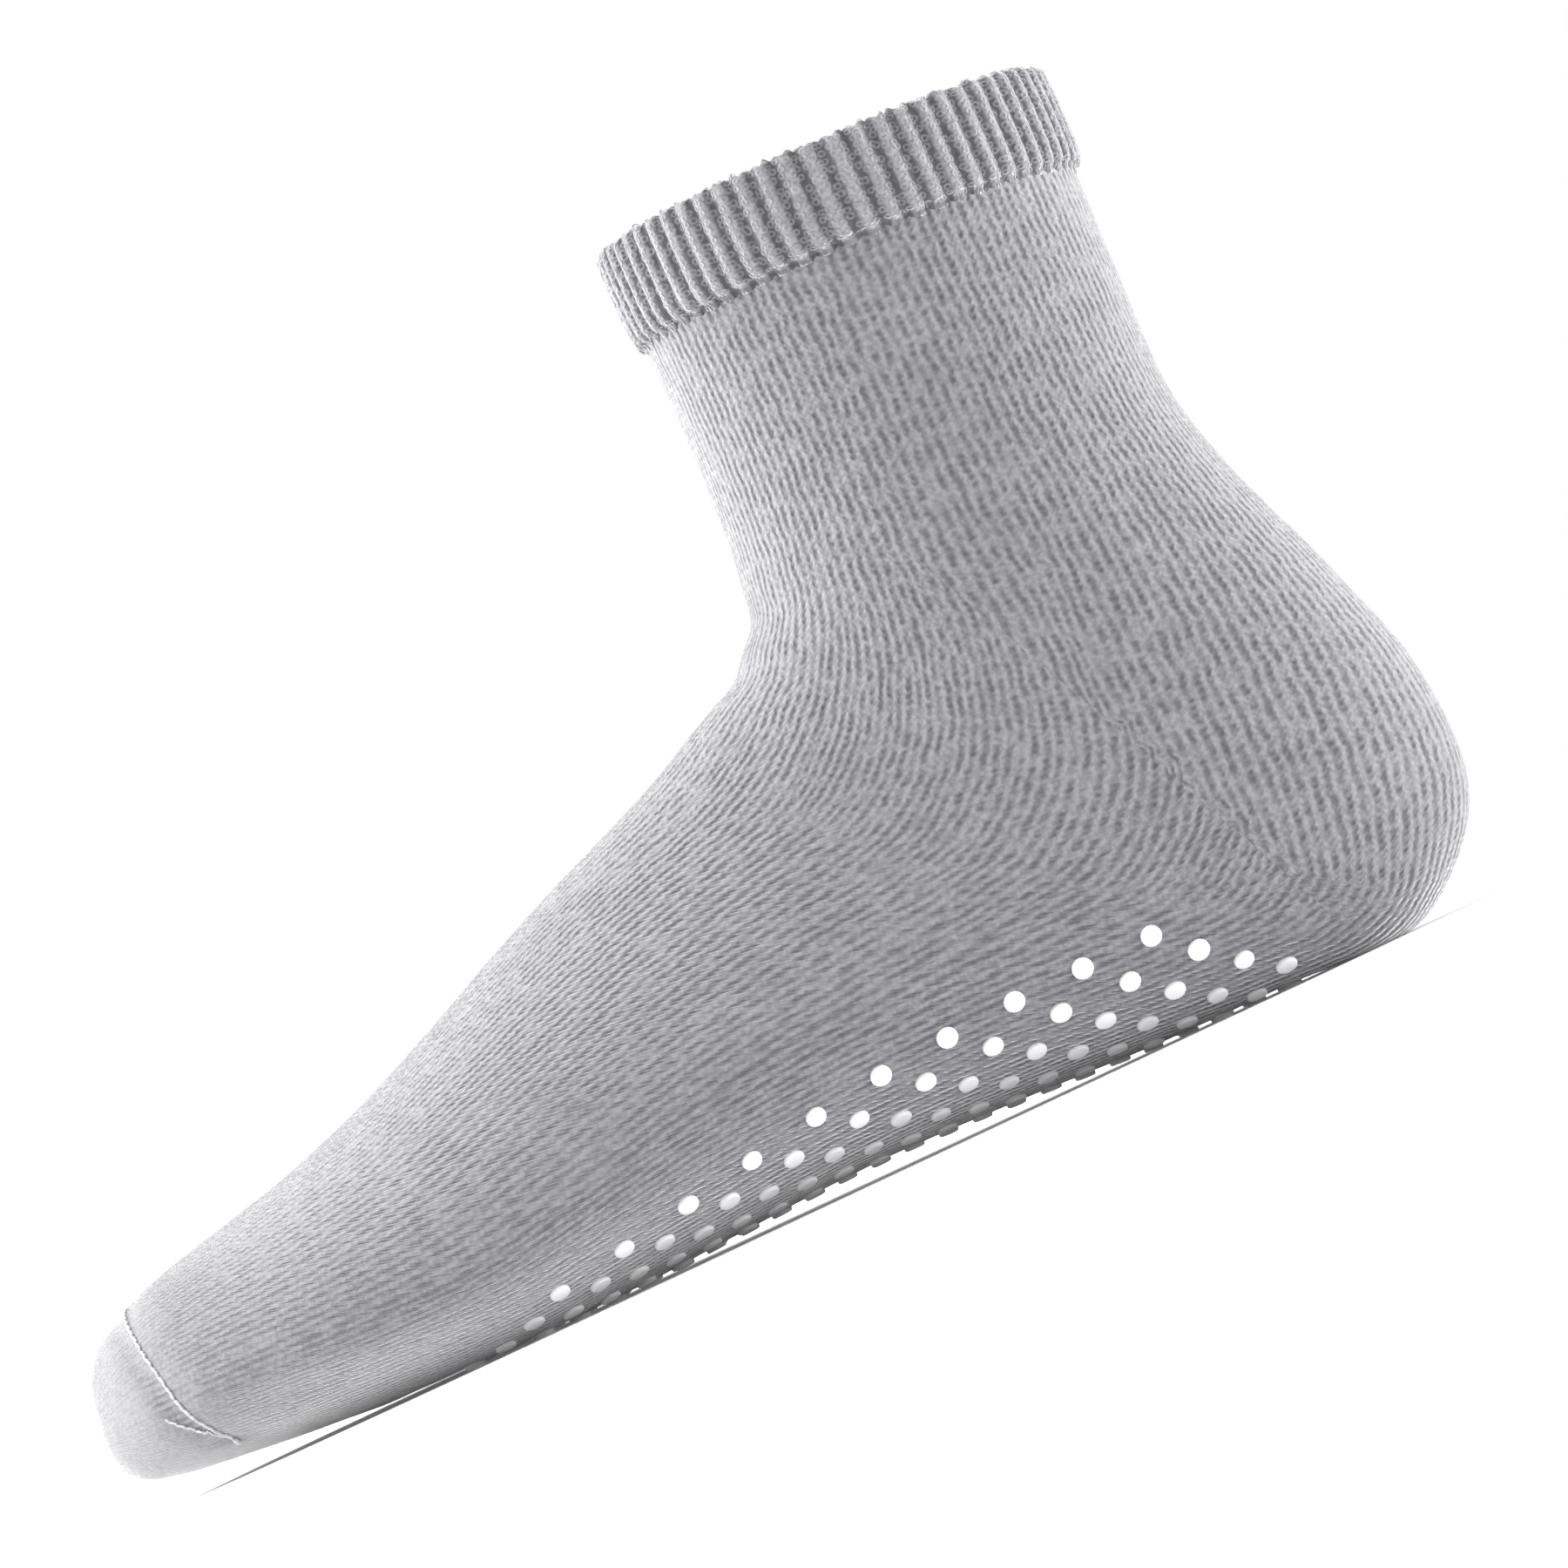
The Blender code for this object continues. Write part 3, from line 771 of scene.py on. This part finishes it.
# Painted shade in the grooves with spots in the loops' holes, faint on the ribs, and on the turned edge
# below.
rib = new_material("grey_rib")
tree = rib.node_tree
spot, height = rib_stitches(tree, node(tree, "UVMap", uv_map="rib_knit"))
down_cuff = attribute(tree, "drop")
in_groove = ramp(tree, attribute(tree, "groove"), *GROOVE_EDGES)
spotted = math_node(tree, "MULTIPLY_ADD", spot, GROOVE_SPOTS, GROOVE_SHADE)
groove_shade = math_node(tree, "MULTIPLY", in_groove, spotted)
rib_shade = math_node(tree, "MULTIPLY", spot, RIB_SPOTS)
grooved = math_node(tree, "MULTIPLY_ADD", in_groove, LOW_EDGE_GROOVES, LOW_EDGE_SHADE)
edge_shade = math_node(tree, "MULTIPLY", ramp(tree, down_cuff, *LOW_EDGE), grooved)
lip_shade = ramp(tree, down_cuff, *LIP, 0.0, LIP_SHADE)
dark = math_node(
    tree, "MAXIMUM",
    math_node(tree, "ADD", groove_shade, rib_shade),
    math_node(tree, "MAXIMUM", edge_shade, lip_shade),
)
colour = mix_colour(tree, dark, RIB_LIGHT, RIB_SHADE_COLOUR)
yarn_surface(rib, colour, height, relief=0.00016)
cuff.data.materials.append(rib)
cuff.data.shade_smooth()
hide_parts("rib_cuff")
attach(cuff, "root")


# Toe seam
# The toe pocket is linked loop by loop over the toes, which leaves a fine raised cord of thread
# with a corner low on each side of the foot.

SEAM_LINKS = 92
CORNER_LINKS = 16
LINK_RADIUS = 0.00030
LINK_LENGTH = 0.00165
LINK_TILT = math.radians(13)
KNOT_GROWTH = 1.45
LINK_RISE = 0.70
CORNER_START = 0.04
EDGE_GROWTH = 0.75
ROUTE_STEP = 0.01
ROWS_TO_SEARCH = 5.0
HALVINGS = 30
THREAD_DARK = (0.39, 0.39, 0.41, 1.0)
THREAD_LIGHT = (0.50, 0.50, 0.52, 1.0)
STRAND_SCALE = 1500.0


def on_knit(u, turn):
    """Place on the knit at a distance along the foot, and the outward direction there."""
    low, high = TOE_ROW - ROWS_TO_SEARCH, float(TOE_ROW)
    for _ in range(HALVINGS):
        middle = (low + high) / 2
        if raw_point(middle, turn).x < u:
            low = middle
        else:
            high = middle
    place, normal, _, _ = skin.find_nearest(on_last(low, turn))
    return place, normal


def over_toes(share):
    """The linking seam, from the inner corner at -1 to the outer corner at 1."""
    return FOOT_LENGTH - SEAM_FROM_TOE - SEAM_SWEEP * share**2, share * SEAM_REACH


def from_corner(share, side):
    """The edge of the turned toe, from the seam's corner forward and up one side."""
    turn = LADDER_TURNS[1] + (LADDER_TURNS[0] - LADDER_TURNS[1]) * share
    seam_u, _ = over_toes(turn / SEAM_REACH)
    return seam_u + LADDER_WIDTH * share, side * turn


def add_links(route, count, start, end, growth):
    """Overlapping loops of thread along a route, each tilted against the one before."""
    shares = [start + (end - start) * i / (count - 1) for i in range(count)]
    step = (end - start) * ROUTE_STEP
    for i, share in enumerate(shares):
        place, normal = on_knit(*route(share))
        ahead, _ = on_knit(*route(share + step))
        behind, _ = on_knit(*route(share - step))
        along = (ahead - behind).normalized()
        sideways = normal.cross(along).normalized()
        axes = Matrix((along, sideways, along.cross(sideways))).transposed().to_4x4()
        tilt = Matrix.Rotation(LINK_TILT * (-1) ** i, 4, "Z")
        size = growth * (KNOT_GROWTH if i in (0, count - 1) and growth == 1 else 1.0)
        middle = place + normal * LINK_RADIUS * LINK_RISE * size
        copy = bpy.data.objects.new("link", link.data.copy())
        copy.matrix_world = Matrix.Translation(middle) @ axes @ tilt @ Matrix.Scale(size, 4)
        bpy.context.scene.collection.objects.link(copy)
        links.append(copy)


def joined(parts, name):
    """The parts as one piece, with its place in its mesh."""
    bpy.ops.object.select_all(action="DESELECT")
    for part in parts:
        part.select_set(True)
    piece = parts[0]
    bpy.context.view_layer.objects.active = piece
    bpy.ops.object.join()
    bpy.ops.object.transform_apply(location=True, rotation=True, scale=True)
    piece.name = piece.data.name = name
    return piece


bpy.ops.object.select_all(action="DESELECT")
bpy.ops.mesh.primitive_uv_sphere_add(segments=8, ring_count=6, radius=LINK_RADIUS)
link = bpy.context.active_object
bpy.ops.object.mode_set(mode="EDIT")
bpy.ops.mesh.select_all(action="SELECT")
bpy.ops.transform.resize(value=(LINK_LENGTH / LINK_RADIUS / 2, 1.0, 1.0))
bpy.ops.object.mode_set(mode="OBJECT")
links = []
add_links(over_toes, SEAM_LINKS, -1.0, 1.0, 1)
for side in (1, -1):
    add_links(lambda share: from_corner(share, side), CORNER_LINKS, CORNER_START, 1.0, EDGE_GROWTH)
bpy.data.objects.remove(link)
seam = joined(links, "linked_toe_seam")

thread = new_material("linking_thread")
tree = thread.node_tree
strands = noise_node(tree, object_place(tree), STRAND_SCALE)
colour = mix_colour(tree, strands, THREAD_DARK, THREAD_LIGHT)
yarn_surface(thread, colour, strands, relief=0.0001)
seam.data.materials.append(thread)
seam.data.shade_smooth()
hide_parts("toe_seam")
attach(seam, "root")


# Grip dots
# White silicone is printed through a screen under the sole in staggered rows and cured on the
# yarn. Each dot is a low flat button with a rounded edge.

DOT_DIAMETER = 0.0034
DOT_ROOT = 0.0004
DOT_ROUNDING = 0.00028
DOT_GROWTH = (0.97, 1.05)
DOT_SIDES = 16
DOT_PITCH_ACROSS = 0.0054
DOT_COLUMNS_EACH_SIDE = 7
DOT_FULL_COLUMNS = 4
DOT_SEED = 3
TAPE_STEP = 0.001
SILICONE_MILKY = (0.86, 0.86, 0.87, 1.0)
SILICONE_WHITE = (0.95, 0.95, 0.955, 1.0)
SILICONE_SCALE = 700.0
SILICONE_RELIEF = 0.00008


def under_sole(u, across):
    """Place and outward direction on the sole, measured round it from its middle like a tape."""
    x = MIDDLE_U - u
    place, normal, _, _ = skin.ray_cast(Vector((x, -MIDDLE_Y, -FOOT_LENGTH)), Vector((0, 0, 1)))
    steps = max(1, round(abs(across) / TAPE_STEP))
    stride = across / steps
    for _ in range(steps if across else 0):
        sideways = Vector((1, 0, 0)).cross(normal).normalized()
        ahead = place + sideways * stride
        ahead.x = x
        place, normal, _, _ = skin.find_nearest(ahead)
        place.x = x
    return place, normal


def dot_places():
    """Staggered columns, as u along the foot and distance across it. The outer columns are shorter."""
    first, last = GRIP_START * FOOT_LENGTH, GRIP_END * FOOT_LENGTH
    places = []
    for column in range(-DOT_COLUMNS_EACH_SIDE, DOT_COLUMNS_EACH_SIDE + 1):
        inset = max(0, abs(column) - DOT_FULL_COLUMNS) * DOT_PITCH_ALONG / 2
        lag = DOT_PITCH_ALONG / 2 if column % 2 else 0.0
        row = 0
        while True:
            u = first + lag + row * DOT_PITCH_ALONG
            row += 1
            if u > last - inset:
                break
            if u > first + inset - DOT_PITCH_ALONG / 4:
                places.append((u, column * DOT_PITCH_ACROSS))
    return places


bpy.ops.object.select_all(action="DESELECT")
bpy.ops.mesh.primitive_cylinder_add(
    vertices=DOT_SIDES, radius=DOT_DIAMETER / 2, depth=DOT_HEIGHT + DOT_ROOT,
    location=(0, 0, (DOT_HEIGHT - DOT_ROOT) / 2), end_fill_type="NGON",
)
dot = bpy.context.active_object
bpy.ops.object.transform_apply(location=True, rotation=True, scale=True)
bpy.ops.object.mode_set(mode="EDIT")
bpy.ops.mesh.select_mode(type="EDGE")
bpy.ops.mesh.select_all(action="DESELECT")
shape = bmesh.from_edit_mesh(dot.data)
for edge in shape.edges:
    edge.select_set(all(vertex.co.z > 0 for vertex in edge.verts))
bmesh.update_edit_mesh(dot.data)
bpy.ops.mesh.bevel(offset=DOT_ROUNDING, segments=2, affect="EDGES")
bpy.ops.object.mode_set(mode="OBJECT")

random.seed(DOT_SEED)
dot_parts = []
for u, across in dot_places():
    place, normal = under_sole(u, across)
    grown = random.uniform(*DOT_GROWTH)
    turned = normal.to_track_quat("Z", "Y").to_matrix().to_4x4()
    copy = bpy.data.objects.new("dot", dot.data.copy())
    copy.matrix_world = Matrix.Translation(place) @ turned @ Matrix.Diagonal((grown, grown, 1.0, 1.0))
    bpy.context.scene.collection.objects.link(copy)
    dot_parts.append(copy)
bpy.data.objects.remove(dot)
dots = joined(dot_parts, "grip_dots")
for vertex in dots.data.vertices:
    vertex.co.z = max(vertex.co.z, 0.0)

silicone = new_material("white_silicone")
tree = silicone.node_tree
shader = tree.nodes["Principled BSDF"]
cured = noise_node(tree, object_place(tree), SILICONE_SCALE)
colour = mix_colour(tree, cured, SILICONE_MILKY, SILICONE_WHITE)
pitted = node(tree, "Bump", sockets={0: 0.4, 1: SILICONE_RELIEF, 3: cured})
tree.links.new(colour, shader.inputs["Base Color"])
tree.links.new(pitted, shader.inputs["Normal"])
shader.inputs["Roughness"].default_value = 0.42
dots.data.materials.append(silicone)
dots.data.shade_smooth()
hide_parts("knit_body")
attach(dots, "root")


# Floor
# A pale seamless studio floor, wide enough that its edge is never seen. It glows more further out,
# so that it meets the white sky without a line.

FLOOR_SIZE = 60.0
GLOW_FROM = (0.4, 1.6)
GLOW = (0.07, 0.45)

bpy.ops.object.select_all(action="DESELECT")
bpy.ops.mesh.primitive_plane_add(size=FLOOR_SIZE, location=(0, 0, 0))
floor = bpy.context.active_object
floor.name = "studio_floor"
paper = new_material("studio_paper")
tree = paper.node_tree
shader = tree.nodes["Principled BSDF"]
shader.inputs["Base Color"].default_value = (0.97, 0.97, 0.97, 1.0)
shader.inputs["Roughness"].default_value = 0.9
shader.inputs["Emission Color"].default_value = (1.0, 1.0, 1.0, 1.0)
far_out = node(tree, "VectorMath", object_place(tree), output=1, operation="LENGTH")
tree.links.new(ramp(tree, far_out, *GLOW_FROM, *GLOW), shader.inputs["Emission Strength"])
floor.data.materials.append(paper)


# Lights
# One soft box stands high in front of the instep and one low behind the heel, so both edges are pale
# and the side between them is darker. The sky fills the rest: dim behind the camera, brightest at the
# sides, half as bright beyond the sock, and plain white where it is seen.

SoftBox = namedtuple("SoftBox", "name place size watts")
SOFT_BOXES = [
    SoftBox("instep_light", (-0.80, 0.05, 0.80), 1.0, 27.0),
    SoftBox("heel_light", (1.00, -0.06, 0.10), 0.7, 17.0),
]
LIT_POINT = Vector((0, 0, 0.06))
# Each slope of the sky, by how far it lies behind the sock: from and to, then the strength at each.
SKY_TO_THE_SIDES = (-1.0, 0.1, 0.03, 1.40)
SKY_BEYOND = (0.3, 1.0, 1.0, 0.50)

for name, place, size, watts in SOFT_BOXES:
    lamp = bpy.data.lights.new(name, "AREA")
    lamp.size = size
    lamp.energy = watts
    lamp_object = bpy.data.objects.new(name, lamp)
    lamp_object.location = place
    lamp_object.rotation_euler = (LIT_POINT - Vector(place)).to_track_quat("-Z", "Y").to_euler()
    bpy.context.scene.collection.objects.link(lamp_object)

world = bpy.data.worlds.new("studio")
world.use_nodes = True
bpy.context.scene.world = world
tree = world.node_tree
seen = node(tree, "LightPath")
behind = node(tree, "SeparateXYZ", node(tree, "TexCoord"), output=1)
to_the_sides = node(tree, "MapRange", behind, *SKY_TO_THE_SIDES)
far_side = node(tree, "MapRange", behind, *SKY_BEYOND)
around = math_node(tree, "MULTIPLY", to_the_sides, far_side)
sky = tree.nodes["Background"]
sky.inputs["Color"].default_value = (1.0, 1.0, 1.0, 1.0)
tree.links.new(node(tree, "MapRange", seen, 0.0, 1.0, around, 1.0), sky.inputs["Strength"])


# Camera
# A long lens looks square at the outer side from just above the floor, rolled so that the heel
# stands high.

FOCAL_LENGTH = 153
SENSOR_WIDTH = 36
ROLL = math.radians(25)

bpy.context.scene.view_settings.view_transform = "Standard"
lens = bpy.data.cameras.new("camera")
lens.lens = FOCAL_LENGTH
lens.sensor_width = SENSOR_WIDTH
camera = bpy.data.objects.new("camera", lens)
bpy.context.scene.collection.objects.link(camera)
stand = Vector((0.0208, -1.05, 0.012))
aim = Vector((0.0208, 0.0, 0.0627))
camera.matrix_world = (
    Matrix.Translation(stand)
    @ (aim - stand).to_track_quat("-Z", "Y").to_matrix().to_4x4()
    @ Matrix.Rotation(-ROLL, 4, "Z")
)
bpy.context.scene.camera = camera
